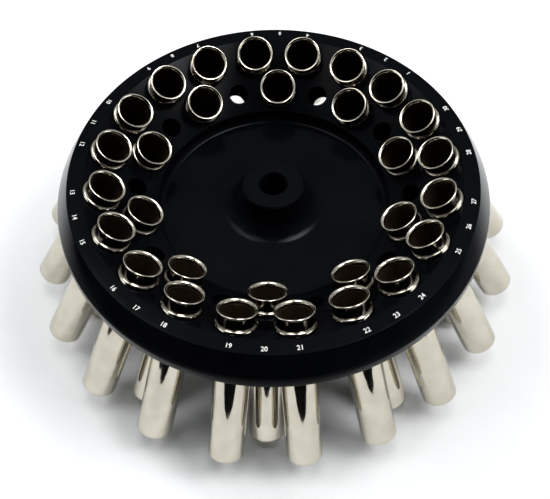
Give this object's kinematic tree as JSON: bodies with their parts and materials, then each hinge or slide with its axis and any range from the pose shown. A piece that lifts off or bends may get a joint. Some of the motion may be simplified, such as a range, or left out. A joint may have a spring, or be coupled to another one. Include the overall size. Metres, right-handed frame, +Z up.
{
  "type": "fixed angle rotor",
  "caption": "Dish-shaped centrifuge rotor with an outer and an inner ring of closed metal sleeves that lean inwards, a flat numbered rim and a central hub with a shaft bore.",
  "frame": {"origin": "on the shaft axis, at the level of the surface that the rotor stands on", "axes": "+Z up along the shaft axis; sleeve 20 lies towards -Y and sleeve 5 towards +Y"},
  "size_m": [0.2804, 0.2804, 0.0973],
  "materials": {
    "anodised_body": "turned, black anodised, satin gloss",
    "bright_sleeve": "deep drawn and polished, mirror bright"
  },
  "bodies": {
    "root": {"rotor_body": "anodised_body", "sleeve_01": "bright_sleeve", "sleeve_02": "bright_sleeve", "sleeve_03": "bright_sleeve", "sleeve_04": "bright_sleeve", "sleeve_05": "bright_sleeve", "sleeve_06": "bright_sleeve", "sleeve_07": "bright_sleeve", "sleeve_08": "bright_sleeve", "sleeve_09": "bright_sleeve", "sleeve_10": "bright_sleeve", "sleeve_11": "bright_sleeve", "sleeve_12": "bright_sleeve", "sleeve_13": "bright_sleeve", "sleeve_14": "bright_sleeve", "sleeve_15": "bright_sleeve", "sleeve_16": "bright_sleeve", "sleeve_17": "bright_sleeve", "sleeve_18": "bright_sleeve", "sleeve_19": "bright_sleeve", "sleeve_20": "bright_sleeve", "sleeve_21": "bright_sleeve", "sleeve_22": "bright_sleeve", "sleeve_23": "bright_sleeve", "sleeve_24": "bright_sleeve", "sleeve_25": "bright_sleeve", "sleeve_26": "bright_sleeve", "sleeve_27": "bright_sleeve", "sleeve_28": "bright_sleeve", "sleeve_29": "bright_sleeve", "sleeve_30": "bright_sleeve"}
  },
  "joints": []
}
